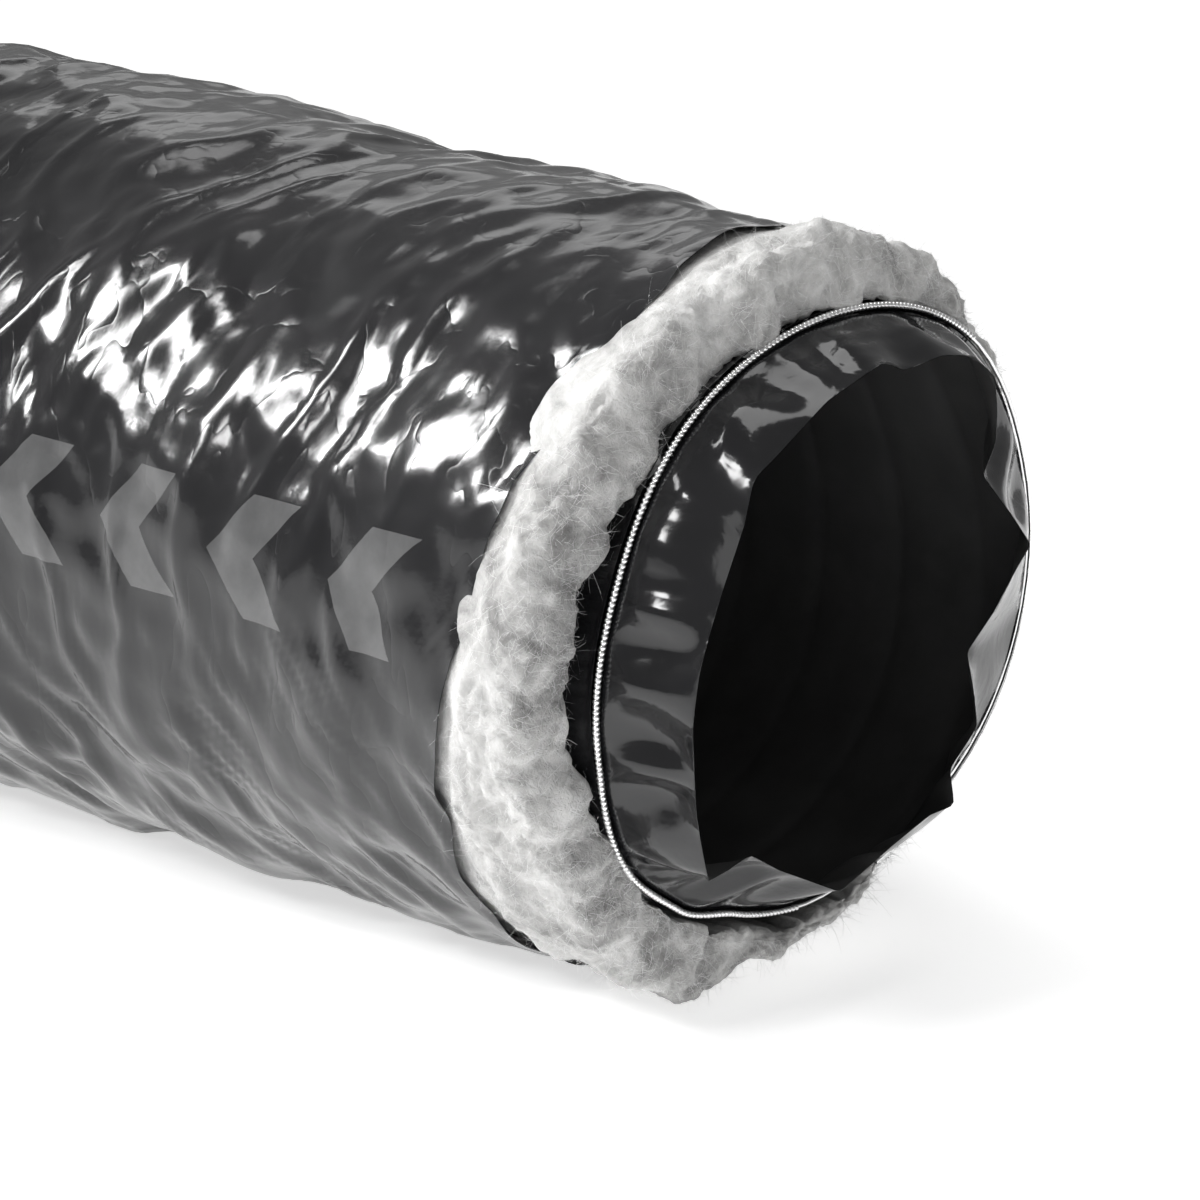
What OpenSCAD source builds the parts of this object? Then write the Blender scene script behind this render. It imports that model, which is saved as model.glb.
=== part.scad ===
// Insulated flexible air duct: a film core on a wire helix, a glass wool blanket and a loose film jacket.
// The duct lies along X. The origin is the centre of its front mouth, and the duct runs back towards -X.
// Each layer is one continuous piece in the real duct. Here it is cut into six stiff lengths and the
// five flexible spans between them, so that the duct can bend and close up like a concertina.
// Every place along the duct is a distance back from the front mouth.

/* [Duct] */
// Length from mouth to mouth
duct_length = 1220; // [1160:10:1300]
// Inside radius of the core, for a collar of 203.2 mm
core_r = 101.6; // [90:0.1:110]
// Outside radius of the jacket
jacket_r = 132; // [128:0.5:145]
// Depth by which the duct's weight flattens its underside
flat_depth = 4; // [1:0.5:6]

/* [Layers] */
// Thickness of each film ply of the core
ply_t = 0.4; // [0.2:0.1:0.6]
// Thickness of the jacket film
jacket_t = 0.6; // [0.3:0.1:0.8]
// Clearance between neighbouring layers
layer_gap = 0.4; // [0.2:0.1:0.5]
// Radial slack of the inner ply where it folds between two stiff lengths
span_slack = 0.6; // [0.5:0.1:0.8]

/* [Wire] */
// Diameter of the spring wire
wire_d = 1.6; // [1:0.1:2]
// Radius of the helix, to the middle of the wire
helix_r = 104.2; // [104:0.1:104.4]
// Nominal distance between two turns
nominal_pitch = 38; // [30:1:50]

/* [Ends] */
// Bare inner ply that stands out past the end of the wire
collar_length = 30; // [24:1:40]
// How far the outer ply runs on past the end of the wire, towards the mouth
outer_ply_lead = 4; // [2:1:8]
// Distance from the mouth to the face of the blanket
blanket_face = 52; // [50:1:66]
// Distance from the mouth to the edge of the jacket
jacket_edge = 72; // [68:1:100]
// Distance from the mouth to the back of the sleeve that slides on the core
sleeve_end = 150; // [140:1:160]
// Distance from the mouth to the first stiff length of blanket and jacket
gather_end = 235; // [230:1:245]

/* [Flexing] */
// Distance from each mouth to the centre of the nearest bend
end_bend_at = 322; // [310:1:340]
// Length of a bending span
bend_gap = 52; // [50:1:56]
// Length of a concertina span
concertina_gap = 62; // [58:1:70]

/* [Hidden] */
$fn = 96;
LENGTHS = 6;
lengths = [1:LENGTHS];

// The flexible spans, from front to rear
spans = ["front_bend", "front_concertina", "middle_bend", "rear_concertina", "rear_bend"];
spans_index = [0:len(spans) - 1];
middle = duct_length / 2;
concertina_at = (end_bend_at + middle) / 2;
span_centre = [end_bend_at, concertina_at, middle, duct_length - concertina_at, duct_length - end_bend_at];
span_gap = [bend_gap, concertina_gap, bend_gap, concertina_gap, bend_gap];

function span_start(i) = span_centre[i] - span_gap[i] / 2;
function span_end(i) = span_centre[i] + span_gap[i] / 2;
function length_start(k) = k == 1 ? 0 : span_end(k - 2);
function length_end(k) = k == LENGTHS ? duct_length : span_start(k - 1);

// Radii of the layers, from the bore outwards
inner_ply_r = core_r + ply_t;
core_skin_r = helix_r + wire_d / 2 + layer_gap;
blanket_bore_r = core_skin_r + ply_t + layer_gap;
blanket_r = jacket_r - jacket_t - layer_gap;
film_stop = collar_length - outer_ply_lead;

// The flats on the underside, as heights below the axis
jacket_flat = jacket_r - flat_depth;
jacket_inner_flat = jacket_flat - jacket_t;
blanket_flat = jacket_inner_flat - layer_gap;

// The helix is a chain of half turns, each a flat half circle tilted one way and then the other
turns = round((duct_length - 2 * collar_length) / nominal_pitch);
half_turns = 2 * turns;
half_pitch = (duct_length - 2 * collar_length) / half_turns;
half_turn_tilt = asin(half_pitch / (2 * helix_r));
// Degrees left open at each end of a half turn, a hair's breadth, so that each stays a sound solid
half_turn_gap = 0.02;

function turn_cut(k) = round(((length_start(k) + length_end(k)) / 2 - collar_length) / half_pitch);
function wire_first(i) = i == 0 ? 0 : turn_cut(i + 1);
function wire_last(i) = i == len(spans) - 1 ? half_turns : turn_cut(i + 2);

ends = ["front", "rear"];

// Lays what is drawn along +Z down along -X, starting at a distance from the mouth
module from_mouth(distance) {
    translate([-distance, 0, 0]) rotate([0, -90, 0]) children();
}

// Turns the front end of the duct into the rear end
module at_end(end) {
    if (end == "rear") translate([-duct_length, 0, 0]) mirror([1, 0, 0]) children();
    else children();
}

// A disc whose lower side is cut flat
module flattened_disc(r, flat) {
    intersection() {
        circle(r);
        translate([-flat, -r]) square([flat + r, 2 * r]);
    }
}

module round_tube(start, end, outer_r, bore_r) {
    from_mouth(start) linear_extrude(end - start) difference() {
        circle(outer_r);
        circle(bore_r);
    }
}

module jacket_tube(start, end) {
    from_mouth(start) linear_extrude(end - start) difference() {
        flattened_disc(jacket_r, jacket_flat);
        flattened_disc(jacket_r - jacket_t, jacket_inner_flat);
    }
}

module blanket_tube(start, end) {
    from_mouth(start) linear_extrude(end - start) difference() {
        flattened_disc(blanket_r, blanket_flat);
        circle(blanket_bore_r);
    }
}

// One half turn of wire: an even one runs down one side of the duct and an odd one up the other
module half_turn(n) {
    down = n % 2 == 0;
    from_mouth(collar_length + (n + 0.5) * half_pitch)
        rotate([0, down ? half_turn_tilt : -half_turn_tilt, 0])
            rotate([0, 0, (down ? 180 : 0) + half_turn_gap])
                rotate_extrude(angle = 180 - 2 * half_turn_gap)
                    translate([helix_r, 0])
                        circle(d = wire_d);
}

module jacket_length(k) {
    start = k == 1 ? gather_end : length_start(k);
    end = k == LENGTHS ? duct_length - gather_end : length_end(k);
    color("#1c1c1e") jacket_tube(start, end);
}

module blanket_length(k) {
    start = k == 1 ? gather_end : length_start(k);
    end = k == LENGTHS ? duct_length - gather_end : length_end(k);
    color("#dcdad4") blanket_tube(start, end);
}

module core_outer_ply(k) {
    start = k == 1 ? film_stop : length_start(k);
    end = k == LENGTHS ? duct_length - film_stop : length_end(k);
    color("#2a2a2c") round_tube(start, end, core_skin_r + ply_t, core_skin_r);
}

module core_inner_ply(k) {
    color("#141415") round_tube(length_start(k), length_end(k), inner_ply_r, core_r);
}

module jacket_span(i) {
    color("#1c1c1e") jacket_tube(span_start(i), span_end(i));
}

module blanket_span(i) {
    color("#dcdad4") blanket_tube(span_start(i), span_end(i));
}

// Both plies of the core where it folds: the inner one hangs slack, off the bore
module core_span(i) {
    color("#141415") {
        round_tube(span_start(i), span_end(i), inner_ply_r + span_slack, core_r + span_slack);
        round_tube(span_start(i), span_end(i), core_skin_r + ply_t, core_skin_r);
    }
}

module wire_helix(i) {
    color("#c8c8cc") for (n = [wire_first(i):wire_last(i) - 1]) half_turn(n);
}

// The end of the jacket, which pushes back over the core with the end of the blanket
module jacket_cuff(end) {
    color("#1c1c1e") at_end(end) jacket_tube(jacket_edge, sleeve_end);
}

module blanket_cuff(end) {
    color("#e6e4de") at_end(end) blanket_tube(blanket_face, sleeve_end);
}

// The stretch that bunches up behind the sleeve
module jacket_gather(end) {
    color("#1c1c1e") at_end(end) jacket_tube(sleeve_end, gather_end);
}

module blanket_gather(end) {
    color("#dcdad4") at_end(end) blanket_tube(sleeve_end, gather_end);
}

for (k = lengths) {
    jacket_length(k);
    blanket_length(k);
    core_outer_ply(k);
    core_inner_ply(k);
}
for (i = spans_index) {
    jacket_span(i);
    blanket_span(i);
    core_span(i);
    wire_helix(i);
}
for (end = ends) {
    jacket_cuff(end);
    blanket_cuff(end);
    jacket_gather(end);
    blanket_gather(end);
}
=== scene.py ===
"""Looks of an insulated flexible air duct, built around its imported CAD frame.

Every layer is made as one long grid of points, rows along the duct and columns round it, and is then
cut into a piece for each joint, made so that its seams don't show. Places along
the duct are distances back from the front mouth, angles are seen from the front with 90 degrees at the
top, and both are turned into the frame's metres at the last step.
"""

import math

import bpy
import numpy as np
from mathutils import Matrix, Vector


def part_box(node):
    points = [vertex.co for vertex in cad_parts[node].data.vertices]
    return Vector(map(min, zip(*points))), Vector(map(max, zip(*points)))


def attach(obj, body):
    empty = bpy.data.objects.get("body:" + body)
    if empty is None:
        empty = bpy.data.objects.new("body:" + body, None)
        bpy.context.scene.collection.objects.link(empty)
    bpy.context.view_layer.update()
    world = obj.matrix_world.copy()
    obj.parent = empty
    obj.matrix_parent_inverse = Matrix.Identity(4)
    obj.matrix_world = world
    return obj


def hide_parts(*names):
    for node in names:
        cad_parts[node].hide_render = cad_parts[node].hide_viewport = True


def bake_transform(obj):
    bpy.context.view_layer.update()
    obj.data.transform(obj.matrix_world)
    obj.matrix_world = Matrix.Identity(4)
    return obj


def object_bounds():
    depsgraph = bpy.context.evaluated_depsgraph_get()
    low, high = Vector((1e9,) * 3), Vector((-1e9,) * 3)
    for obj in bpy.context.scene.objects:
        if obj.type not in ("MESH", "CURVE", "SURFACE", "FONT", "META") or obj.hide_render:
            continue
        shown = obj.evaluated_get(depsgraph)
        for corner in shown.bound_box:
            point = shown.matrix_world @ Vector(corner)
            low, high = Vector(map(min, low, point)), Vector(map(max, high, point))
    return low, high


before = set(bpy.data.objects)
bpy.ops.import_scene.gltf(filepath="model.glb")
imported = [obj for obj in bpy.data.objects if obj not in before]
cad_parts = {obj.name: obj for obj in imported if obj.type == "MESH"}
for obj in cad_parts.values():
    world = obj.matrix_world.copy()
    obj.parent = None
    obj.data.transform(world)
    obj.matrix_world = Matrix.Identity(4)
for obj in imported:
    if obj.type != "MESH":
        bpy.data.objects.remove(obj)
cad_low, cad_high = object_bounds()

MM = 0.001

# ---------------------------------------------------------------- sizes, read from the frame


def reach(node):
    """How far back from the front mouth a node starts and ends."""
    low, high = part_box(node)
    return -high.x, -low.x


def radius(node):
    """The outer radius of a round layer, from its width."""
    low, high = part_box(node)
    return (high.y - low.y) / 2


FLOOR_Z = cad_low.z
# How far above the floor the film and the fibres stay
FLOOR_CLEAR = 0.3 * MM
LENGTH = reach("core_inner_ply_6")[1]
BORE_R = radius("core_inner_ply_2")
SKIN_R = radius("core_outer_ply_2")
# Half the wire's thickness
WIRE_HALF = 0.8 * MM
WIRE_R = radius("wire_helix_middle_bend") - WIRE_HALF
BLANKET_R = radius("blanket_length_2")
JACKET_R = radius("jacket_length_2")
WIRE_START = reach("wire_helix_front_bend")[0] + WIRE_HALF
JACKET_EDGE = reach("front_jacket_cuff")[0]
SPANS = ["front_bend", "front_concertina", "middle_bend", "rear_concertina", "rear_bend"]
LENGTHS = [f"length_{k}" for k in range(1, 7)]
TURNS = 31
PITCH = (LENGTH - 2 * WIRE_START) / TURNS

# How far each side of a span its layers bend, and the stretch in which a sleeve's layers bunch up
BEND_HALF = 70 * MM
SLIDE_HALF = 63 * MM
SLEEVE_BEND = (140 * MM, 245 * MM)


def bend_zone(span):
    """Where the layers start and stop following a span's joint."""
    start, end = reach(f"jacket_span_{span}")
    half = BEND_HALF if "bend" in span else SLIDE_HALF
    return (start + end) / 2 - half, (start + end) / 2 + half


ZONES = [bend_zone(s) for s in SPANS]
MIRRORED_SLEEVE = (LENGTH - SLEEVE_BEND[1], LENGTH - SLEEVE_BEND[0])
# Each joint of the core, as its zone and the two bodies that it joins, and the same for the outer layers
CORE_ZONES = list(zip(ZONES, zip(LENGTHS, LENGTHS[1:])))
OUTER_ZONES = (
    [(SLEEVE_BEND, ("front_sleeve", "length_1"))]
    + CORE_ZONES
    + [(MIRRORED_SLEEVE, ("length_6", "rear_sleeve"))]
)


def cuts(zones):
    """Where a layer is cut between the zones of neighbouring joints."""
    ends = [z for z, _ in zones]
    return [(a[1] + b[0]) / 2 for a, b in zip(ends, ends[1:])]


# ---------------------------------------------------------------- shapes from formulas


def smooth(t):
    """A soft step from 0 to 1 as t goes from 0 to 1."""
    t = np.clip(t, 0, 1)
    return t * t * (3 - 2 * t)


def waves(a, b, size, seed, count=28, lean=0.0, spread=math.pi):
    """A smooth random field over a tube: a is the place along it and b the distance round it, in metres.
    size is the usual wavelength. lean turns the crests, and spread says how much they vary from that."""
    rng = np.random.default_rng(seed)
    around = 2 * math.pi * JACKET_R
    total = np.zeros(np.broadcast(a, b).shape)
    for _ in range(count):
        turn = lean + spread * (rng.random() - 0.5)
        k = 2 * math.pi / (size * rng.uniform(0.6, 1.7))
        whole = round(k * math.sin(turn) * around / (2 * math.pi))
        phase = rng.uniform(0, 2 * math.pi)
        total += np.cos(k * math.cos(turn) * a + 2 * math.pi * whole * b / around + phase)
    return total * math.sqrt(2 / count)


def round_the_duct(points, angle):
    """A smooth closed curve through (angle in degrees, value in millimetres) pairs."""
    at = np.radians([p[0] for p in points])
    value = np.array([p[1] for p in points]) * MM
    at, value = np.concatenate([at - 2 * math.pi, at, at + 2 * math.pi]), np.tile(value, 3)
    a = np.mod(angle, 2 * math.pi)
    k = np.searchsorted(at, a) - 1
    t = (a - at[k]) / (at[k + 1] - at[k])
    return value[k] + (value[k + 1] - value[k]) * smooth(t)


# The wire ring at the mouth isn't quite round, because the soft duct lies on its side
RING_SAG = [
    (20, -3), (60, 2), (95, 1), (130, 2), (165, -2), (192, -1), (218, 3), (236, 0), (252, -5), (295, -5),
    (335, -2),
]
SAG_FADES = 220 * MM


def sag(d, angle):
    """How far the core is out of round at a place near the front mouth, and the same at the rear."""
    near = smooth(1 - (d - WIRE_START) / SAG_FADES)
    far = smooth(1 - (LENGTH - WIRE_START - d) / SAG_FADES)
    return near * round_the_duct(RING_SAG, angle) + far * round_the_duct(RING_SAG, math.pi - angle)


def place(d, angle, r):
    """Points in the frame from places along the duct, angles and radii."""
    d, angle, r = np.broadcast_arrays(d, angle, r)
    return np.stack([-d, r * np.cos(angle), r * np.sin(angle)], -1)


# ---------------------------------------------------------------- relaxing a loose film


def pull(a, b, rest, give):
    """Moves two rows of points towards being rest apart."""
    gap = b - a
    size = np.sqrt((gap * gap).sum(-1, keepdims=True))
    gap *= (0.5 * give) * (1 - rest / np.maximum(size, 1e-6))
    a += gap
    b -= gap


def thread_lengths(p, along, round_it):
    """The lengths of a film's threads when it lies as p does, times how loose it is: along it, round it
    and across it both ways."""

    def gaps(a, b):
        return np.linalg.norm(b - a, axis=-1, keepdims=True).astype(np.float32)

    loose = (along + round_it) / 2
    across = [loose * gaps(p[:-1], np.roll(p[1:], side, 1)) for side in (-1, 1)]
    return along * gaps(p[:-1], p[1:]), round_it * gaps(p, np.roll(p, -1, 1)), across


def hold_lengths(p, lengths):
    """One pass that keeps a film's threads at their lengths."""
    along, round_it, across = lengths
    for first in (0, 1):
        rows = (len(p) - first) // 2 * 2
        a, b = p[first:first + rows:2], p[first + 1:first + rows:2]
        pull(a, b, along[first::2], 1.0)
        for side, rest in zip((-1, 1), across):
            moved = np.roll(b, side, 1)
            pull(a, moved, rest[first::2], 0.7)
            b[:] = np.roll(moved, -side, 1)
        q = np.roll(p, -first, 1)
        pull(q[:, 0::2], q[:, 1::2], np.roll(round_it, -first, 1)[:, 0::2], 1.0)
        p[:] = np.roll(q, first, 1)


def soften(p, share):
    """The film's small stiffness: each point moves a little towards its neighbours' middle."""
    middle = (p[:-2] + p[2:]) / 2 - p[1:-1]
    p[1:-1] += share * middle
    p += share * ((np.roll(p, 1, 1) + np.roll(p, -1, 1)) / 2 - p)


# ---------------------------------------------------------------- meshes from grids


def grid_normals(p):
    """Normals of a tube's points, worked out over the whole grid so that cut pieces shade as one."""
    d = np.empty_like(p)
    d[1:-1] = p[2:] - p[:-2]
    d[0], d[-1] = p[1] - p[0], p[-1] - p[-2]
    e = np.roll(p, -1, 1) - np.roll(p, 1, 1)
    n = np.cross(d, e)
    return n / np.maximum(np.linalg.norm(n, axis=-1, keepdims=True), 1e-12)


def ring_faces(first, second, columns):
    """Faces between two rings of points, given the number of each ring's first point."""
    j = np.arange(columns)
    k = (j + 1) % columns
    return np.stack([first + j, second + j, second + k, first + k], -1)


def mesh_object(name, points, faces, normals=None, slots=None, uv=None):
    """A mesh from arrays: one normal and one uv pair a point, one material number a face."""
    mesh = bpy.data.meshes.new(name)
    mesh.from_pydata(points.tolist(), [], faces.tolist())
    mesh.polygons.foreach_set("use_smooth", np.ones(len(faces), bool))
    if slots is not None:
        mesh.polygons.foreach_set("material_index", slots.astype(np.int32))
    if uv is not None:
        corner = np.empty(len(mesh.loops), np.int32)
        mesh.loops.foreach_get("vertex_index", corner)
        mesh.uv_layers.new(name="film").data.foreach_set("uv", uv[corner].astype(np.float32).ravel())
    if normals is not None:
        mesh.normals_split_custom_set_from_vertices(normals.tolist())
    obj = bpy.data.objects.new(name, mesh)
    bpy.context.scene.collection.objects.link(obj)
    return obj


def shell(name, outer, inner, normals, uv):
    """A closed piece between an outer and an inner grid: both faces and the two rims."""
    columns = outer.shape[1]
    shift = len(outer) * columns
    points = np.concatenate([outer.reshape(-1, 3), inner.reshape(-1, 3)])
    normals = np.concatenate([n.reshape(-1, 3) for n in normals])
    outside = [ring_faces(i * columns, (i + 1) * columns, columns) for i in range(len(outer) - 1)]
    inside = [
        ring_faces(shift + (i + 1) * columns, shift + i * columns, columns) for i in range(len(inner) - 1)
    ]
    rims = [
        ring_faces(shift, 0, columns),
        ring_faces(shift - columns, shift + (len(inner) - 1) * columns, columns),
    ]
    faces = np.concatenate(outside + inside + rims)
    slots = np.repeat([0, 1, 0], [len(outside) * columns, len(inside) * columns, 2 * columns])
    return mesh_object(name, points, faces, normals, slots, np.concatenate([u.reshape(-1, 2) for u in uv]))


def film_uv(d, columns):
    """Each point's place along the duct in metres, and its share of the way round."""
    return np.stack(np.broadcast_arrays(np.asarray(d)[:, None], np.arange(columns)[None] / columns), -1)


def cut_layer(name, outer, inner, zones, materials, stands_for):
    """Cuts a layer between its joints into a piece for each joint. outer is a grid of points
    and the place along the duct of each of its rows, and inner is either the same or a film's thickness."""
    p, d = outer
    normals = grid_normals(p)
    if not isinstance(inner, tuple):
        inner = (p - normals * inner, d)
    q, e = inner
    inward = -grid_normals(q)
    middles = cuts(zones)
    made = []
    for k, (zone, bodies) in enumerate(zones):
        rows, others = [
            slice(
                np.argmin(abs(x - middles[k - 1])) if k else 0,
                np.argmin(abs(x - middles[k])) + 1 if k < len(middles) else len(x),
            )
            for x in (d, e)
        ]
        piece = shell(
            f"{name}_{k + 1}", p[rows], q[others], (normals[rows], inward[others]),
            (film_uv(d[rows], p.shape[1]), film_uv(e[others], p.shape[1])),
        )
        for m in materials:
            piece.data.materials.append(m)
        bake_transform(piece)
        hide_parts(*stands_for(k))
        made.append((piece, d[rows][-1] - d[rows][0]))
    return made


# ---------------------------------------------------------------- materials


# The printed arrows: their angle round the duct, their spacing, stroke and half height, how far each slants
# back from its tip, and where the row starts
ARROWS_AT = 171
ARROW_STEP, ARROW_STROKE, ARROW_HALF_HEIGHT = 56 * MM, 21 * MM, 21 * MM
ARROW_SLANT = 0.85
ARROW_SHIFT, ARROWS_FROM = 4 * MM, 83 * MM


class Look:
    """A small helper that adds nodes to one material."""

    def __init__(self, name):
        self.material = bpy.data.materials.new(name)
        self.material.use_nodes = True
        self.nodes = self.material.node_tree.nodes
        self.links = self.material.node_tree.links
        self.shader = self.nodes["Principled BSDF"]

    def add(self, kind, inputs=(), **settings):
        node = self.nodes.new("ShaderNode" + kind)
        for key, value in settings.items():
            setattr(node, key, value)
        for socket, value in dict(inputs).items():
            if isinstance(value, bpy.types.NodeSocket):
                self.links.new(value, node.inputs[socket])
            else:
                node.inputs[socket].default_value = value
        return node

    def set(self, **values):
        for key, value in values.items():
            socket = self.shader.inputs[key.replace("_", " ")]
            if isinstance(value, bpy.types.NodeSocket):
                self.links.new(value, socket)
            else:
                socket.default_value = value
        return self

    def math(self, operation, a, b=0.0, clamp=False):
        node = self.add("Math", {0: a, 1: b}, operation=operation)
        node.use_clamp = clamp
        return node.outputs[0]

    def noise(self, vector, scale, detail=3.0, roughness=0.5, distortion=0.0):
        inputs = {"Vector": vector, "Scale": scale, "Detail": detail, "Roughness": roughness,
                  "Distortion": distortion}
        return self.add("TexNoise", inputs).outputs["Fac"]

    def ramp(self, factor, *stops):
        node = self.add("ValToRGB", {"Fac": factor})
        elements = node.color_ramp.elements
        while len(elements) < len(stops):
            elements.new(0.5)
        for element, (at, colour) in zip(elements, stops):
            element.position = at
            element.color = (*colour, 1.0) if isinstance(colour, tuple) else (colour, colour, colour, 1.0)
        return node.outputs["Color"]

    def between(self, value, low, high, to_low, to_high):
        inputs = {"Value": value, "From Min": low, "From Max": high, "To Min": to_low, "To Max": to_high}
        return self.add("MapRange", inputs).outputs["Result"]

    def bump(self, height, distance, strength=1.0, normal=None):
        inputs = {"Height": height, "Distance": distance, "Strength": strength}
        if normal is not None:
            inputs["Normal"] = normal
        return self.add("Bump", inputs).outputs["Normal"]


def printed_arrows(look):
    """1 inside a row of plain arrows that show which way the air flows, 0 outside, from the film's own
    coordinates: the place along the duct in metres and the share of the way round."""
    film = look.add("UVMap", uv_map="film").outputs["UV"]
    parts = look.add("SeparateXYZ", {0: film})
    along = parts.outputs["X"]
    off = look.math("SUBTRACT", parts.outputs["Y"], ARROWS_AT / 360)
    off = look.math("MULTIPLY", look.math("ABSOLUTE", off), 2 * math.pi * JACKET_R)
    turned = look.math("ADD", along, look.math("MULTIPLY", off, ARROW_SLANT))
    step = look.math("MODULO", look.math("SUBTRACT", turned, ARROW_SHIFT), ARROW_STEP)
    stroke = look.math("LESS_THAN", step, ARROW_STROKE)
    inside = look.math("LESS_THAN", off, ARROW_HALF_HEIGHT)
    clear = look.math("GREATER_THAN", along, ARROWS_FROM)
    return look.math("MULTIPLY", look.math("MULTIPLY", stroke, inside), clear)


def jacket_look():
    """Crumpled glossy black polyethylene, with plain grey arrows printed along it."""
    look = Look("jacket_film")
    here = look.add("TexCoord").outputs["Object"]
    stretch = {"Vector": here, "Rotation": (0.5, 0.3, 0.5), "Scale": (1.0, 1.0, 0.45)}
    crease = look.noise(look.add("Mapping", stretch).outputs[0], 30.0, 3.0, 0.55, 0.15)
    ridge = look.math("ABSOLUTE", look.math("SUBTRACT", crease, 0.5))
    fine = look.noise(here, 210.0, 3.0, 0.55)
    normal = look.bump(look.math("SQRT", ridge), 0.0016, 0.35)
    normal = look.bump(fine, 0.0002, 0.4, normal)
    smear = look.noise(here, 9.0, 4.0, 0.6)
    film = look.ramp(smear, (0.35, (0.010, 0.010, 0.011)), (0.7, (0.017, 0.017, 0.018)))
    worn = look.between(look.noise(here, 120.0, 4.0, 0.6), 0.3, 0.7, 0.75, 1.0)
    inked = look.math("MULTIPLY", printed_arrows(look), worn)
    painted = look.add("Mix", {0: inked, 6: film, 7: (0.10, 0.10, 0.101, 1.0)}, data_type="RGBA")
    look.set(
        Base_Color=painted.outputs[2],
        Roughness=look.between(smear, 0.3, 0.75, 0.14, 0.25),
        Normal=normal,
        Specular_IOR_Level=0.43,
        Coat_Weight=0.2,
        Coat_Roughness=0.08,
    )
    return look.material


def lining_look():
    """The hidden side of the jacket."""
    look = Look("jacket_inside")
    here = look.add("TexCoord").outputs["Object"]
    dust = look.noise(here, 60.0, 3.0)
    look.set(Base_Color=look.ramp(dust, (0.3, 0.012), (0.8, 0.03)), Roughness=0.45)
    return look.material


def core_look():
    """The outside of the core's film: thin, smooth and very glossy."""
    look = Look("core_film")
    here = look.add("TexCoord").outputs["Object"]
    crease = look.noise(here, 55.0, 3.0, 0.6, 0.5)
    smear = look.noise(here, 14.0, 3.0)
    look.set(
        Base_Color=look.ramp(smear, (0.3, (0.008, 0.008, 0.009)), (0.8, (0.016, 0.016, 0.017))),
        Roughness=look.between(smear, 0.3, 0.75, 0.10, 0.2),
        Normal=look.bump(crease, 0.0008, 0.5),
        Specular_IOR_Level=0.42,
        Coat_Weight=0.15,
        Coat_Roughness=0.08,
    )
    return look.material


def bore_look():
    """The inside of the core: matte black."""
    look = Look("core_bore")
    here = look.add("TexCoord").outputs["Object"]
    dust = look.noise(here, 40.0, 4.0, 0.6)
    look.set(
        Base_Color=look.ramp(dust, (0.35, 0.045), (0.75, 0.065)),
        Roughness=look.between(dust, 0.3, 0.8, 0.5, 0.7),
        Specular_IOR_Level=0.25,
    )
    return look.material


# Glass wool's colour and painted shade: dark grey painted shade for the hollows between its tufts, up to
# off-white at their tips
WOOL_TONES_AND_PAINTED_SHADE = [(0.39, (0.21, 0.208, 0.204)), (0.5, (0.43, 0.427, 0.42)), (0.61, (0.62, 0.616, 0.608))]


def wool_look():
    """Glass wool: off-white with random tone, and soft grey painted shade in the hollows between the tufts.
    """
    look = Look("glass_wool")
    here = look.add("TexCoord").outputs["Object"]
    tuft = look.noise(here, 60.0, 6.0, 0.65, 0.6)
    matted = look.noise(here, 17.0, 3.0, 0.55, 0.3)
    tufts_and_painted_shade = look.math("ADD", look.math("MULTIPLY", tuft, 0.6), look.math("MULTIPLY", matted, 0.4))
    hairy = look.noise(here, 420.0, 2.0, 0.6, 1.5)
    look.set(
        # The wool's base colour is random tone, and its dark end is painted shade for the hollows between
        # the tufts
        Base_Color=look.ramp(tufts_and_painted_shade, *WOOL_TONES_AND_PAINTED_SHADE),
        Roughness=look.between(hairy, 0.2, 0.8, 0.85, 1.0),
        Normal=look.bump(hairy, 0.0012, 0.6),
        Specular_IOR_Level=0.1,
        Subsurface_Weight=0.35,
        Subsurface_Radius=(1.0, 1.0, 1.0),
        Subsurface_Scale=0.004,
        Sheen_Weight=0.25,
    )
    return look.material


def fibre_look():
    """Single glass fibres."""
    look = Look("glass_fibre")
    here = look.add("TexCoord").outputs["Object"]
    shade = look.noise(here, 90.0, 2.0)
    look.set(Base_Color=look.ramp(shade, (0.3, 0.55), (0.7, 0.80)), Roughness=0.7, Specular_IOR_Level=0.3)
    return look.material


def wire_look():
    """Bright spring wire."""
    look = Look("spring_wire")
    here = look.add("TexCoord").outputs["Object"]
    rub = look.noise(here, 160.0, 3.0)
    look.set(
        Base_Color=look.ramp(rub, (0.3, 0.78), (0.7, 0.93)),
        Metallic=1.0,
        Roughness=look.between(rub, 0.3, 0.7, 0.18, 0.34),
    )
    return look.material


JACKET, LINING, CORE, BORE, WOOL, FIBRE, WIRE = (
    jacket_look(), lining_look(), core_look(), bore_look(), wool_look(), fibre_look(), wire_look()
)


# ---------------------------------------------------------------- the jacket

JACKET_ROWS, JACKET_COLUMNS = 380, 300
RELAX_STEPS = 60
# How much longer the film is than the blanket under it, along the duct and round it
LOOSE_ALONG, LOOSE_ROUND = 1.018, 1.004
# Shares of one relaxing step: the film's stiffness, its hold on its folds, and the give of the blanket
STIFF, HOLD, GIVE = 0.01, 0.03, 0.5
# How far inside the frame's blanket the film comes to rest, and the furthest that it stands off from there
BEDDED, LIFT = 0.6 * MM, 7.0 * MM
# The jacket's ends are cut by hand: how far the cut is from square, round the duct
JACKET_CUT = [
    (0, 22), (40, 24), (66, 24), (76, 14), (88, -9), (105, -11), (117, -15), (140, -14), (152, -7),
    (168, 0), (184, 10), (202, 20), (217, 26), (236, 26), (270, 24), (320, 22),
]
CUT_FADES = 110 * MM
# How far the blanket has packed down near its ends, most at the upper right
PACKED_FROM, PACKED_FADES = 40 * MM, 190 * MM
PACKED = [
    (0, -13), (30, -13), (50, -11), (69, -8), (90, -3), (112, -1), (150, 0), (245, 0), (262, -2), (300, -8),
]
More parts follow.
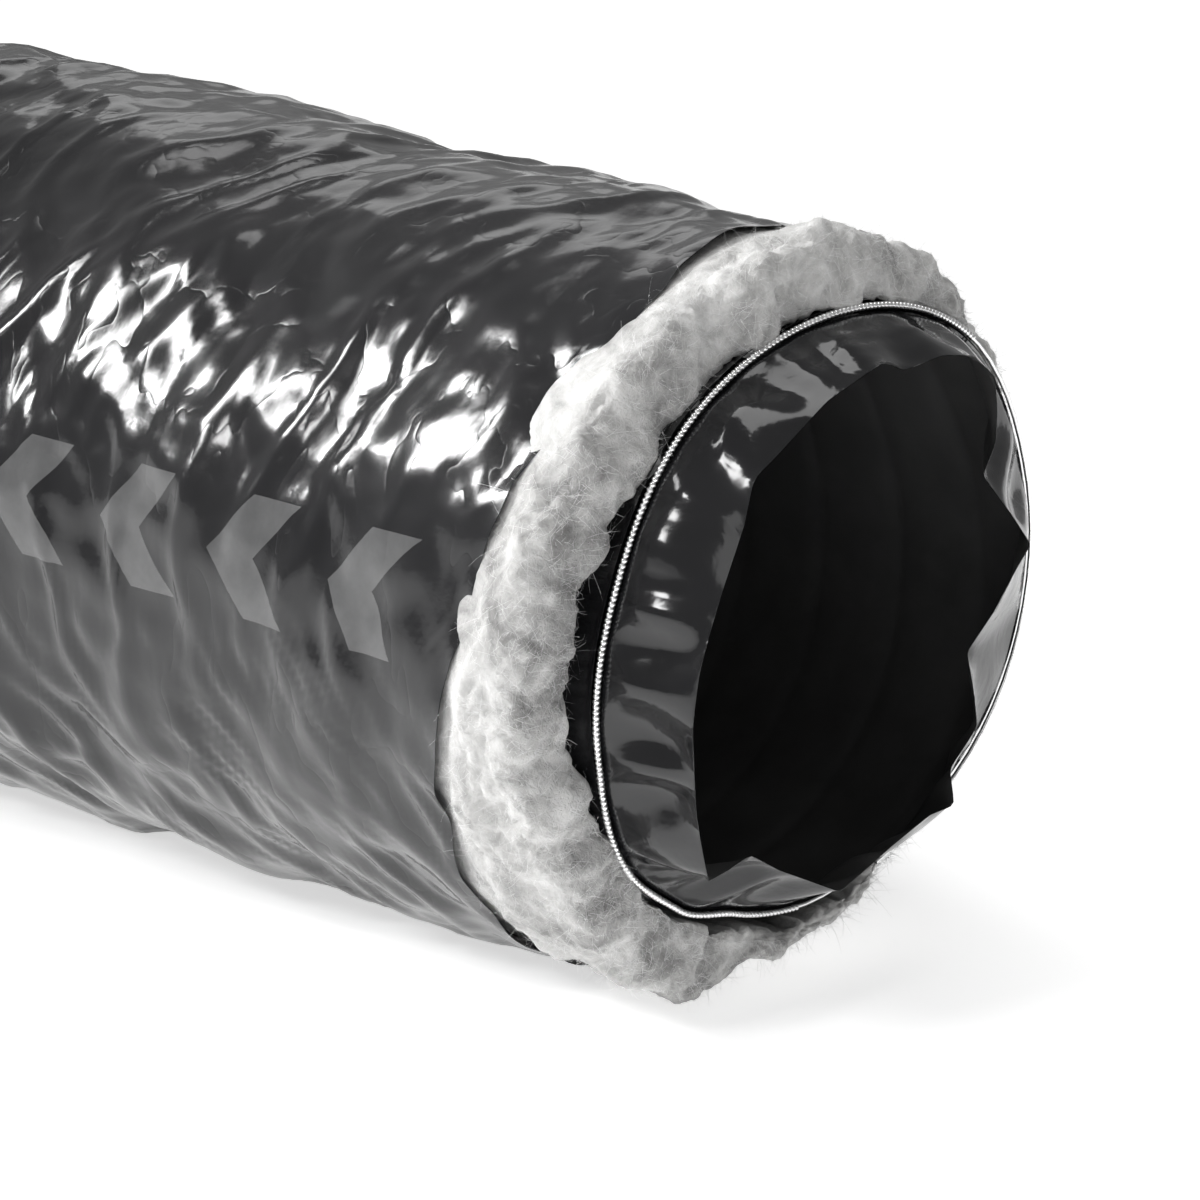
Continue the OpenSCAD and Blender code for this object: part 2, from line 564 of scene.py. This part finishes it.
# The blanket's lumps: (width in metres, height in millimetres, seed)
LUMPS = [(0.075, 1.3, 13), (0.024, 0.35, 14)]
# How far the jacket presses the blanket in all round, and where the duct's top is dented: (place along it,
# angle, half length in metres, depth in millimetres)
PRESSED = 1.0 * MM
DENTS = [(0.61, 77, 0.12, 9), (0.235, 68, 0.055, 5)]
# The wire ring at the mouth leans forward at the top, and the jacket's and blanket's ends with it
LEAN = PITCH / 4


def at_both_ends(points, d, angle, start, fades):
    """A curve round the duct that is in full force at its front end, fades behind it, and comes back
    mirrored at its rear end."""
    near = smooth(1 - (d - start) / fades) * round_the_duct(points, angle)
    far = smooth(1 - (LENGTH - start - d) / fades) * round_the_duct(points, math.pi - angle)
    return near, far


def lumps(d, angle):
    """How far the blanket under the jacket is from round: uneven, packed down at its ends, and dented."""
    girth = JACKET_R * angle
    near, far = at_both_ends(PACKED, d, angle, PACKED_FROM, PACKED_FADES)
    uneven = sum(high * MM * waves(d, girth, size, seed) for size, high, seed in LUMPS)
    pressed = PRESSED
    for at, turn, half, deep in DENTS:
        facing = np.maximum(np.cos(angle - math.radians(turn)), 0) ** 2
        pressed = pressed + deep * MM * np.exp(-(((d - at) / half) ** 2)) * facing
    return uneven + near + far - pressed


# The jacket's folds run round it, and sway along it: how far, round the duct
FOLD_SWAY = [
    (0, 10), (60, 12), (90, 8), (130, -8), (172, -20), (190, -12), (215, 20), (240, 52), (260, 60),
    (300, 40), (330, 20),
]
# How far apart the long and the short folds are, and how high
LONG_APART, SHORT_APART = 56 * MM, 21 * MM
LONG_FOLD, SHORT_FOLD = 2.9 * MM, 0.6 * MM
# The side of the duct where they are highest
FOLDED_SIDE = 185
# Where the film lies tight: (place along the duct, angle, half width), and how much lower its folds are
TIGHT = [(0.105, 150, 0.034), (0.265, 147, 0.026), (0.46, 140, 0.03)]
TIGHT_DROP = 0.62
# The film's seam: its angle, its height and its half width
SEAM_AT = 251
SEAM_HIGH, SEAM_HALF = 2.5 * MM, 3.5 * MM


def folds(d, angle):
    """The jacket's folds before it is relaxed: long soft ones, sharp along their crests, and small ones."""
    girth = JACKET_R * angle
    swayed = d + round_the_duct(FOLD_SWAY, angle) + 6 * MM * waves(d, girth, 0.16, 30)
    long = waves(swayed, girth, LONG_APART, 185, lean=-0.05, spread=1.15)
    short = waves(swayed, girth, SHORT_APART, 32, lean=0.0, spread=1.3)
    # Both kinds come and go along the duct and round it
    strong = 0.35 + 0.65 * smooth(0.5 + 0.45 * waves(d, girth, 0.13, 187))
    rough = 0.15 + 0.85 * smooth(0.3 + 0.5 * waves(d, girth, 0.09, 34))
    side_share = 0.55 + 0.45 * smooth((np.cos(angle - math.radians(FOLDED_SIDE)) + 0.3) / 0.8)
    tight = 1
    for at, turn, half in TIGHT:
        gap = (d - at) ** 2 + ((angle - math.radians(turn)) * JACKET_R) ** 2
        tight = tight * (1 - TIGHT_DROP * np.exp(-gap / half**2))
    strong, rough = strong * side_share * tight, rough * side_share * tight
    # A crest is sharp, because it's where the wave goes through nought
    high = LONG_FOLD * strong * (1.1 - np.sqrt(long**2 + 0.02))
    high = high + SHORT_FOLD * rough * (1 - np.sqrt(short**2 + 0.05))
    seam = (np.mod(angle - math.radians(SEAM_AT) + math.pi, 2 * math.pi) - math.pi) * JACKET_R
    return high + SEAM_HIGH * np.exp(-((seam / SEAM_HALF) ** 2))


def on_blanket(p, top, share):
    """Keeps the film on the soft blanket, never far off it, and above the floor."""
    r = np.hypot(p[..., 1], p[..., 2])
    to = np.where(r < top, r + share * (top - r), np.minimum(r, top + LIFT))
    p[..., 1:] *= (to / r)[..., None]
    np.maximum(p[..., 2], FLOOR_Z + FLOOR_CLEAR, out=p[..., 2])


def crumpled_jacket():
    """The jacket's film: folded, then relaxed at its own length, a little more than the blanket's."""
    start, end = JACKET_EDGE, LENGTH - JACKET_EDGE
    d = np.linspace(start, end, JACKET_ROWS)[:, None]
    angle = (np.arange(JACKET_COLUMNS) * 2 * math.pi / JACKET_COLUMNS)[None]
    near, far = at_both_ends(JACKET_CUT, d, angle, JACKET_EDGE, CUT_FADES)
    d = d + near - far
    top = BLANKET_R - BEDDED + lumps(d, angle)
    home = place(d, angle, top + folds(d, angle))
    p = home.astype(np.float32)
    lengths = thread_lengths(place(d, angle, top), LOOSE_ALONG, LOOSE_ROUND)
    for _ in range(RELAX_STEPS):
        hold_lengths(p, lengths)
        soften(p, STIFF)
        slip = (home - p) * HOLD
        p += slip.astype(np.float32)
        on_blanket(p, top, GIVE)
    return p.astype(float), np.linspace(start, end, JACKET_ROWS)


def outer_nodes(layer):
    """The CAD nodes that each piece of the jacket or the blanket stands for."""

    def nodes(k):
        if k == 0:
            return [f"front_{layer}_cuff", f"front_{layer}_gather", f"{layer}_length_1"]
        if k == 6:
            return [f"rear_{layer}_cuff", f"rear_{layer}_gather"]
        return [f"{layer}_span_{SPANS[k - 1]}", f"{layer}_length_{k + 1}"]

    return nodes


JACKET_THICK = 0.3 * MM
jacket_pieces = cut_layer(
    "jacket",
    crumpled_jacket(),
    JACKET_THICK,
    OUTER_ZONES,
    (JACKET, LINING),
    outer_nodes("jacket"),
)


# ---------------------------------------------------------------- the blanket

# How far back the blanket's face is, and how far from the axis it reaches there, round the duct
FACE_BACK = [
    (0, 60), (25, 50), (45, 40), (60, 35), (75, 33), (95, 33), (120, 36), (138, 40), (155, 42), (168, 46),
    (182, 50), (192, 51), (201, 46), (215, 45), (235, 47), (265, 48), (290, 53), (325, 62),
]
FACE_OUT = [
    (0, 108), (25, 109), (40, 111), (49, 114), (57, 118), (69, 124), (81, 127), (100, 128), (130, 129.5),
    (180, 130), (230, 130.5), (246, 130), (254, 127), (261, 116), (272, 111), (285, 112), (295, 108),
    (309, 108), (335, 108),
]
# The blanket's inner side: its radius, and how far from each mouth its rows start
BLANKET_IN = SKIN_R + 0.3 * MM
INNER_FROM, INNER_ROWS = 75 * MM, 120
# How far inside the frame's blanket the wool lies, so that it stays under the film
UNDER_JACKET = 2.2 * MM
BLANKET_COLUMNS = 480
# The cut face is a rounded nose: its rows, its depth, the inner edge's share of that, and how blunt it is
# across and along
NOSE_ROWS = 42
NOSE_DEPTH, NOSE_INNER = 11 * MM, 0.2
BLUNT_ACROSS, BLUNT_ALONG = 0.85, 0.6
# Rows behind the face: close together where the wool is bare, and further apart under the jacket
BEHIND_FACE = np.concatenate([np.arange(1, 36) * 1.6, 56 + np.arange(1, 12) * 4.0]) * MM
# How far behind the face's corner the blanket swells to its full radius, how far behind it the rows come
# square to the duct, and where the corner would be if it were square too
SWELLS_OVER, SQUARE_OVER, SQUARE_CORNER = 38 * MM, 100 * MM, 65 * MM
# The glass wool's tufts, from matted lumps down to single ones: (width in metres, height in millimetres)
TUFTS = [(0.030, 1.1), (0.014, 0.55), (0.0065, 0.35), (0.0034, 0.2)]
# How far ahead of the jacket's edge they start to go flat, and over how far
TUFTS_END, TUFTS_FADE = 12 * MM, 10 * MM
# How far the bare wool bulges, how far ahead of the jacket's edge that starts, and over how far
BULGE, BULGE_FROM, BULGE_FADES = 2.2 * MM, 40 * MM, 25 * MM
# How far clear of the floor the wool stays
WOOL_CLEAR = 0.8 * MM


def fluff(s, angle):
    """How high the wool's tufts stand, all sizes together."""
    girth = JACKET_R * angle
    return sum(high * MM * waves(s, girth, size, 40 + i, count=40) for i, (size, high) in enumerate(TUFTS))


def blanket_nose(angle, seed):
    """Rows of the blanket's cut face: from its inner edge, round the face and over its outer corner."""
    back = round_the_duct(FACE_BACK, angle) + 0.9 * MM * waves(0 * angle, JACKET_R * angle, 0.035, seed)
    out = round_the_duct(FACE_OUT, angle)
    middle, half = (BLANKET_IN + out) / 2, (out - BLANKET_IN) / 2
    rows = []
    for t in np.linspace(-1, 1, NOSE_ROWS):
        turn = t * math.pi / 2
        r = middle + half * math.copysign(abs(math.sin(turn)) ** BLUNT_ACROSS, turn)
        d = back + NOSE_DEPTH * (1 - abs(math.cos(turn)) ** BLUNT_ALONG) * (NOSE_INNER if t < 0 else 1.0)
        rows.append((d, r))
    return rows


def blanket_end(mirror, seed):
    """Rows from the blanket's inner edge to just under the jacket's end, as (d, r) round the duct. The
    rear end is made as if it were a front one, and is mirrored afterwards."""
    angle = np.arange(BLANKET_COLUMNS) * 2 * math.pi / BLANKET_COLUMNS
    rows = blanket_nose(angle, seed)
    corner, out = rows[-1]
    for step in BEHIND_FACE:
        fade = smooth(step / SQUARE_OVER)
        d = corner + step - fade * (corner - SQUARE_CORNER)
        here = (LENGTH - d, math.pi - angle) if mirror else (d, angle)
        full = BLANKET_R - UNDER_JACKET + lumps(*here)
        r = out + (full - out) * smooth(step / SWELLS_OVER)
        rows.append((d, r))
    return angle, np.array([d for d, r in rows]), np.array([r for d, r in rows])


def add_fluff(p, d, angle):
    """Lifts the tufts off a smooth end, where it's bare, and keeps them off the floor."""
    steps = np.linalg.norm(np.diff(p, axis=0), axis=-1).mean(1)
    s = np.concatenate([[0], np.cumsum(steps)])[:, None]
    edge = JACKET_EDGE + round_the_duct(JACKET_CUT, angle)[None]
    bare = 1 - smooth((d - edge + TUFTS_END) / TUFTS_FADE)
    bulge = BULGE * bare * smooth((d - edge + BULGE_FROM) / BULGE_FADES)
    p = p + grid_normals(p) * (fluff(s, angle[None]) * bare + bulge)[..., None]
    p[..., 2] = np.maximum(p[..., 2], FLOOR_Z + WOOL_CLEAR)
    return p


def whole_blanket():
    """The outer grid of the blanket from face to face, and where each row is along the duct."""
    angle, d, r = blanket_end(False, 50)
    front = add_fluff(place(d, angle[None], r), d, angle)
    angle, e, q = blanket_end(True, 51)
    mirrored = np.mod(math.pi - angle, 2 * math.pi)
    order = np.argsort(mirrored)
    rear = add_fluff(place(e, angle[None], q), e, angle)[:, order]
    rear = rear[::-1] * (-1, -1, 1)
    rear[..., 0] -= LENGTH
    last = d[-1].mean()
    between = np.linspace(last, LENGTH - last, int((LENGTH - 2 * last) / (9 * MM)))[1:-1, None]
    top = BLANKET_R - UNDER_JACKET + lumps(between, angle[None])
    tube = place(between, angle[None], top)
    tube[..., 2] = np.maximum(tube[..., 2], FLOOR_Z + WOOL_CLEAR)
    p = np.concatenate([front, tube, rear])
    where = np.concatenate([d.mean(1), between[:, 0], LENGTH - e.mean(1)[::-1]])
    return p, where


blanket, blanket_d = whole_blanket()
inner_d = np.linspace(INNER_FROM, LENGTH - INNER_FROM, INNER_ROWS)
round_angle = (np.arange(BLANKET_COLUMNS) * 2 * math.pi / BLANKET_COLUMNS)[None]
blanket_pieces = cut_layer(
    "blanket",
    (blanket, blanket_d),
    (place(inner_d[:, None], round_angle, BLANKET_IN), inner_d),
    OUTER_ZONES,
    (WOOL, WOOL),
    outer_nodes("blanket"),
)


# No fibre hangs lower than this over the core, so that the sleeve can slide back
CLEAR_OF_CORE = SKIN_R + 2.6 * MM
# In millimetres, a fibre's shortest length, the most it adds to that, and half its width
FIBRE_SHORT, FIBRE_MORE, FIBRE_HALF = 2.0, 7.0, 0.055


def strands(name, p, covered, count, seed, body, nodes):
    """Loose glass fibres that stand off the blanket's bare end: thin curved ribbons rooted in the wool.
    covered says which of its points lie under the jacket."""
    rng = np.random.default_rng(seed)
    normals = grid_normals(p)
    rows = rng.integers(2, len(p) - 1, 2 * count)
    columns = rng.integers(0, p.shape[1], 2 * count)
    bare = np.flatnonzero(~covered[rows, columns])[:count]
    count = len(bare)
    root, out = p[rows, columns][bare], normals[rows, columns][bare]
    drift = rng.normal(size=(count, 3))
    side = np.cross(out, drift)
    side /= np.linalg.norm(side, axis=1, keepdims=True)
    long = (FIBRE_SHORT + FIBRE_MORE * rng.random(count) ** 2.2)[:, None] * MM
    rise = (0.12 + 0.5 * rng.random(count) ** 2)[:, None]
    curl = rng.normal(size=(count, 3)) * 0.35
    wide = np.cross(side, out) * FIBRE_HALF * MM
    rings = []
    for t in (0.0, 0.35, 0.7, 1.0):
        centre = root + long * (t * side + rise * math.sin(1.9 * t) * out + t * t * curl)
        centre[:, 2] = np.maximum(centre[:, 2], FLOOR_Z + FLOOR_CLEAR)
        from_axis = np.hypot(centre[:, 1], centre[:, 2])
        centre[:, 1:] *= np.maximum(CLEAR_OF_CORE / from_axis, 1)[:, None]
        taper = 1 - 0.7 * t
        rings.append(centre - wide * taper)
        rings.append(centre + wide * taper)
    points = np.stack(rings, 1).reshape(-1, 3)
    base = (np.arange(count) * 8)[:, None, None]
    faces = (base + np.array([[0, 1, 3, 2], [2, 3, 5, 4], [4, 5, 7, 6]])[None]).reshape(-1, 4)
    fuzz = mesh_object(name, points, faces)
    fuzz.data.materials.append(FIBRE)
    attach(fuzz, body)
    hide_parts(*nodes)


# How many of the blanket's rows at each end are tried for fibres, and how far short of the jacket those end
BARE_ROWS = 72
FIBRE_GAP = 5 * MM


def add_fibres(end, p, back, angle, count, seed):
    """The fibres of one bare end of the blanket. back is how far each of its points is from that mouth."""
    covered = back > JACKET_EDGE + round_the_duct(JACKET_CUT, angle) - FIBRE_GAP
    strands(f"{end}_fibres", p, covered, count, seed, f"{end}_sleeve", [f"{end}_blanket_cuff"])


front_end, rear_end = blanket[:BARE_ROWS], blanket[-BARE_ROWS:]
add_fibres("front", front_end, -front_end[..., 0], round_angle, 14000, 60)
add_fibres("rear", rear_end, LENGTH + rear_end[..., 0], math.pi - round_angle, 9000, 61)


# ---------------------------------------------------------------- the core: skin, lining and wire

CORE_COLUMNS = 240
core_angle = (np.arange(CORE_COLUMNS) * 2 * math.pi / CORE_COLUMNS)[None]
# The collar is the film that runs on past the wire ring and has fallen in folds: how long it is, how far it
# bellies out between the ring and its edge, its edge's folds as (angle, radius, distance back), where its
# rows start, and how deep its creases are
COLLAR_LONG = 39 * MM
COLLAR_BOW = [(0, 3), (110, 3), (135, 6), (150, 8), (165, 7), (185, 3.5), (240, 3), (300, 3)]
COLLAR_EDGE = [
    (7, 70, 17), (14, 73, 12), (26, 69, 14), (40, 68, 17), (49, 75, 9), (58, 83, 4), (63, 91, 3),
    (71, 95, 3), (80, 94, 3), (90, 90, 5), (97, 96, 3), (113, 94, 4), (129, 94, 4), (136, 97, 4),
    (144, 91, 4), (158, 90, 4), (173, 95, 3), (185, 97, 4), (202, 100, 6), (216, 105, 8), (226, 84, 15),
    (237, 82, 16), (258, 84, 14), (279, 75, 18), (294, 74, 18), (301, 77, 16), (308, 71, 22),
    (322, 71, 21), (331, 68, 26), (341, 65, 31), (354, 67, 24),
]
COLLAR_FROM, CREASE_DEEP = 3 * MM, 4.0 * MM
COLLAR_ROWS, COLLAR_STEPS = 19, 160
# Shares of one relaxing step: the collar's stiffness, its hold on its folds, and the hold on its edge
COLLAR_STIFF, COLLAR_HOLD, EDGE_HOLD = 0.03, 0.05, 0.25
# How thick the core's films are, how close together their rows are near the mouths, how far in that goes,
# and how many rows there are between
CORE_THICK = 0.25 * MM
CORE_STEP, CORE_FINE, CORE_MIDDLE_ROWS = 2.6 * MM, 300 * MM, 80
# The lining's radius, and how far it dips inward between the turns
LINING_R = BORE_R + 0.3 * MM
DIP = 0.7 * MM
# How far from a mouth the lean of its ring has gone, and the half width of the film's rise over the wire
LEAN_FADES = 90 * MM
OVER_WIRE = 3.2 * MM


def turn_share(angle):
    """How much of a turn past the top an angle is, going over to the left first."""
    return np.mod(angle / (2 * math.pi) - 0.25, 1.0)


def ring_back(angle):
    """How far behind the helix's start the ring at the mouth is, since it leans forward at the top."""
    return LEAN * (1 - np.cos(angle - math.pi / 2))


def core_place(d, angle, r):
    """Points of the core. Its ends lean with the ring and sag out of round."""
    near = smooth(1 - (d - WIRE_START) / LEAN_FADES) * ring_back(angle)
    far = smooth(1 - (LENGTH - WIRE_START - d) / LEAN_FADES) * ring_back(math.pi - angle)
    return place(d + near - far, angle, r + sag(d, angle))


def near_wire(d, angle):
    """1 where the wire is and 0 between its turns."""
    shift = smooth(1 - (d - WIRE_START) / LEAN_FADES) * ring_back(angle)
    turns = (d + shift - WIRE_START) / PITCH - turn_share(angle)
    off = (np.mod(turns + 0.5, 1) - 0.5) * PITCH
    return np.exp(-((off / OVER_WIRE) ** 2))


def edge_point(angle):
    """The free edge of the collar: straight from one fold to the next, seen from the front."""
    a = np.mod(angle, 2 * math.pi).ravel()
    knots = np.array(COLLAR_EDGE, float)
    knots = np.concatenate([knots[-1:] - (360, 0, 0), knots, knots[:1] + (360, 0, 0)])
    turn, r, back = np.radians(knots[:, 0]), knots[:, 1] * MM, knots[:, 2] * MM
    k = np.searchsorted(turn, a, side="right") - 1
    left, right = a - turn[k], turn[k + 1] - a
    across = r[k] * np.sin(left) + r[k + 1] * np.sin(right)
    chord = r[k] * r[k + 1] * np.sin(turn[k + 1] - turn[k]) / np.maximum(across, 1e-9)
    return chord, back[k] + (back[k + 1] - back[k]) * left / (left + right)


def collar(mirror, seed):
    """The rows of the free film at one mouth, from its edge to the wire ring, relaxed into folds. The rear
    one is the front one seen in a mirror."""
    seen = math.pi - core_angle if mirror else core_angle
    r_edge, d_edge = edge_point(seen)
    ring_d = WIRE_START + ring_back(seen)
    ring = place(ring_d, core_angle, LINING_R + sag(np.array(WIRE_START), seen))[0]
    edge = place(d_edge, core_angle[0], r_edge)
    share = np.linspace(0, 1, COLLAR_ROWS)[:, None]
    creases = waves(share * 0.02, JACKET_R * seen, 0.050, seed, lean=math.pi / 2, spread=1.2)
    belly = round_the_duct(COLLAR_BOW, seen) - CREASE_DEEP * np.sqrt(creases**2 + 0.01)
    bow = np.sin(share * math.pi) ** 0.7 * belly
    out = np.stack([0 * core_angle, np.cos(core_angle), np.sin(core_angle)], -1)
    p = edge + (ring - edge) * share[..., None] + bow[..., None] * out
    target = p.copy()
    flat = place(share * COLLAR_LONG, core_angle, BORE_R)
    along, _, _ = thread_lengths(flat, 1.0, 1.0)
    _, round_it, across = thread_lengths(target, 1.0, 1.02)
    for _ in range(COLLAR_STEPS):
        hold_lengths(p, (along, round_it, across))
        soften(p, COLLAR_STIFF)
        p += (target - p) * COLLAR_HOLD
        p[0] += (edge - p[0]) * EDGE_HOLD
        p[-1] = ring
    # A few stiff passes at the end smooth out the smallest creases
    for _ in range(4):
        soften(p, 0.3)
        p[0] += (edge - p[0]) * 0.5
        p[-1] = ring
    if mirror:
        p[..., 0] = -LENGTH - p[..., 0]
        p = p[::-1]
    return p


def core_rows(first):
    """Places along the core: close together near its ends, where it shows."""
    near = np.arange(first, CORE_FINE, CORE_STEP)
    middle = np.linspace(CORE_FINE, LENGTH - CORE_FINE, CORE_MIDDLE_ROWS)[1:-1]
    return np.concatenate([near, middle, LENGTH - near[::-1]])


# The lining: its free ends at both mouths, and between them a film that dips inward between the turns
bore_d = core_rows(WIRE_START + 1.6 * MM)
dip = DIP * (1 - near_wire(bore_d[:, None], core_angle))
bore = core_place(bore_d[:, None], core_angle, LINING_R - dip)
front_collar, rear_collar = collar(False, 70), collar(True, 71)
front_d = np.linspace(COLLAR_FROM, WIRE_START, len(front_collar))
lining = np.concatenate([front_collar, bore, rear_collar])
lining_d = np.concatenate([front_d, bore_d, LENGTH - front_d[::-1]])
lining_pieces = cut_layer(
    "core_lining",
    (lining, lining_d),
    CORE_THICK,
    CORE_ZONES,
    (CORE, BORE),
    lambda k: [f"core_inner_ply_{k + 1}"] + ["core_inner_ply_6"] * (k == 4),
)

# The skin: drawn over the wire, and close to the lining just behind the ring: where that ends, over how long
# a stretch, and how far the skin drops there
DROP_ENDS, DROP_FADES, DROP = 45 * MM, 20 * MM, 2.2 * MM
skin_d = core_rows(WIRE_START + 1.7 * MM)
along = skin_d[:, None]
level = smooth((along - DROP_ENDS) / DROP_FADES) * smooth((LENGTH - DROP_ENDS - along) / DROP_FADES)
rise = np.maximum(level, near_wire(along, core_angle))
skin = core_place(along, core_angle, SKIN_R - DROP * (1 - rise))
skin_pieces = cut_layer(
    "core_skin",
    (skin, skin_d),
    CORE_THICK,
    CORE_ZONES,
    (CORE, BORE),
    lambda k: [f"core_outer_ply_{k + 1}", f"core_span_{SPANS[k]}"] + ["core_outer_ply_6"] * (k == 4),
)


def wire_path(t):
    """Places and angles along the wire. t counts its turns from the top of the ring."""
    back = np.where(t < 0.5, LEAN * (1 - np.cos(2 * math.pi * t)), PITCH * t)
    rest = TURNS - t
    back = np.where(rest < 0.5, TURNS * PITCH - LEAN * (1 - np.cos(2 * math.pi * rest)), back)
    return WIRE_START + back, math.pi / 2 + 2 * math.pi * t


def wire_points(t):
    """The wire's centre at each t, with the place along the duct and the angle there."""
    d, angle = wire_path(t)
    r = WIRE_R + sag(d, np.mod(angle, 2 * math.pi))
    return place(d, angle, r), d, angle


def tube_mesh(centres, angle, radius_m, sides=8):
    """A thin round tube along the wire, from its centres and the angle of each."""
    out = np.stack([0 * angle, np.cos(angle), np.sin(angle)], -1)[:, None]
    turn = np.arange(sides) * 2 * math.pi / sides
    normal = out * np.cos(turn)[None, :, None] + np.array((1.0, 0, 0)) * np.sin(turn)[None, :, None]
    points = centres[:, None] + normal * radius_m
    faces = np.concatenate([ring_faces(i * sides, (i + 1) * sides, sides) for i in range(len(centres) - 1)])
    return points.reshape(-1, 3), faces, normal.reshape(-1, 3)


def bead_mesh(centres, size):
    """A row of round beads, as one mesh."""
    rings, sides = 6, 10
    lift = np.linspace(-math.pi / 2, math.pi / 2, rings)
    turn = np.arange(sides) * 2 * math.pi / sides
    out = np.cos(lift)[:, None]
    ball = np.stack(np.broadcast_arrays(np.sin(lift)[:, None], out * np.cos(turn), out * np.sin(turn)), -1)
    ball = ball.reshape(-1, 3)
    faces = np.concatenate([ring_faces((i + 1) * sides, i * sides, sides) for i in range(rings - 1)])
    points = centres[:, None] + ball[None] * size
    faces = (faces[None] + (np.arange(len(centres)) * rings * sides)[:, None, None]).reshape(-1, 4)
    return points.reshape(-1, 3), faces, np.tile(ball, (len(centres), 1))


# How fine the wire's curve is, and how many turns its hidden ends run on beside the first turn
STEPS_A_TURN = 72
HIDDEN_LEAD = 0.44
# The ridges along the rings at the mouths: how many a turn, and their radius
BEADS_A_TURN, BEAD_R = 363, 1.25 * MM
# Where the ridges are, in turns, by the number of the wire's piece
BEADED = {0: (-0.1, 0.5), 4: (TURNS - 0.5, TURNS + 0.1)}


def wire_piece(name, centres, angle, beads):
    """A stretch of the wire, and its ridges where it has any."""
    points, faces, normals = tube_mesh(centres, angle, WIRE_HALF)
    if beads:
        at = np.arange(beads[0], beads[1], 1 / BEADS_A_TURN)
        more = bead_mesh(wire_points(at)[0], BEAD_R)
        faces = np.concatenate([faces, more[1] + len(points)])
        points = np.concatenate([points, more[0]])
        normals = np.concatenate([normals, more[2]])
    return mesh_object(name, points, faces, normals)


def add_wire():
    """The whole wire, cut between the joints as the films are."""
    steps = int((TURNS + 2 * HIDDEN_LEAD) * STEPS_A_TURN)
    turn_at = np.linspace(-HIDDEN_LEAD, TURNS + HIDDEN_LEAD, steps)
    centres, d, angle = wire_points(turn_at)
    wire_cuts = [-1.0] + cuts(CORE_ZONES) + [2 * LENGTH]
    for k, (zone, bodies) in enumerate(CORE_ZONES):
        inside = np.flatnonzero((d >= wire_cuts[k]) & (d <= wire_cuts[k + 1]))
        inside = np.arange(inside[0], min(inside[-1] + 2, len(d)))
        wire = wire_piece(f"wire_{k + 1}", centres[inside], angle[inside], BEADED.get(k))
        wire.data.materials.append(WIRE)
        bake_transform(wire)
        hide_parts(f"wire_helix_{SPANS[k]}")


add_wire()


# ---------------------------------------------------------------- the stage

VIEW_AZIMUTH, VIEW_ELEVATION = math.radians(43), math.radians(16)
VIEW_DISTANCE = 2.1
LENS_MM = 194.2
# The ring at the mouth is seen right of the picture's middle, and a little below it
RING_RIGHT, RING_BELOW = 0.0716, 0.0063


def look_at(obj, target):
    obj.rotation_euler = (Vector(target) - obj.location).to_track_quat("-Z", "Y").to_euler()


def add_camera():
    camera = bpy.data.objects.new("camera", bpy.data.cameras.new("camera"))
    bpy.context.scene.collection.objects.link(camera)
    a, e = VIEW_AZIMUTH, VIEW_ELEVATION
    back = Vector((math.sin(a) * math.cos(e), -math.cos(a) * math.cos(e), math.sin(e)))
    right = Vector((math.cos(a), math.sin(a), 0))
    ring = Vector((-40 * MM, 0, 0))
    camera.location = ring + back * VIEW_DISTANCE
    look_at(camera, ring - right * RING_RIGHT + right.cross(-back).normalized() * RING_BELOW)
    camera.data.lens = LENS_MM
    camera.data.sensor_width = 36
    bpy.context.scene.camera = camera


def softbox(name, place_m, target, size, power, spread=180):
    lamp = bpy.data.lights.new(name, "AREA")
    lamp.shape = "RECTANGLE"
    lamp.size, lamp.size_y = size
    lamp.energy = power
    lamp.spread = math.radians(spread)
    obj = bpy.data.objects.new(name, lamp)
    obj.location = place_m
    bpy.context.scene.collection.objects.link(obj)
    look_at(obj, target)


def add_floor():
    mesh = bpy.data.meshes.new("floor")
    half = 20.0
    corners = [(-half, -half, 0), (half, -half, 0), (half, half, 0), (-half, half, 0)]
    mesh.from_pydata(corners, [], [(0, 1, 2, 3)])
    floor = bpy.data.objects.new("floor", mesh)
    floor.location = (0, 0, FLOOR_Z)
    bpy.context.scene.collection.objects.link(floor)
    look = Look("floor")
    here = look.add("TexCoord").outputs["Object"]
    mottle = look.noise(here, 3.0, 2.0)
    look.set(Base_Color=look.ramp(mottle, (0.3, 0.90), (0.7, 0.93)), Roughness=0.85, Specular_IOR_Level=0.1)
    look.set(Emission_Color=(1.0, 1.0, 1.0, 1.0), Emission_Strength=0.6)
    mesh.materials.append(look.material)


def add_world():
    world = bpy.data.worlds.new("studio")
    bpy.context.scene.world = world
    world.use_nodes = True
    background = world.node_tree.nodes["Background"]
    background.inputs["Color"].default_value = (1.0, 1.0, 1.0, 1.0)
    background.inputs["Strength"].default_value = 0.3


add_camera()
add_floor()
add_world()
MIDDLE = (-0.3, 0, 0)
softbox("key", (-1.2, -0.98, 1.14), (0.45, -0.1, 0.05), (0.55, 0.95), 4.2, spread=40)
softbox("mouth", (-0.28, -1.42, 0.98), (0, -0.08, 0.04), (0.34, 0.30), 8)
softbox("top", (-0.3, 0.1, 1.9), MIDDLE, (1.6, 0.7), 12)
softbox("front", (1.9, -1.6, 1.0), (0, 0, 0), (0.8, 0.8), 3)
softbox("back", (-2.1, 1.5, 1.4), (-0.9, 0, 0), (0.9, 0.9), 2.5)
bpy.context.scene.view_settings.view_transform = "Standard"
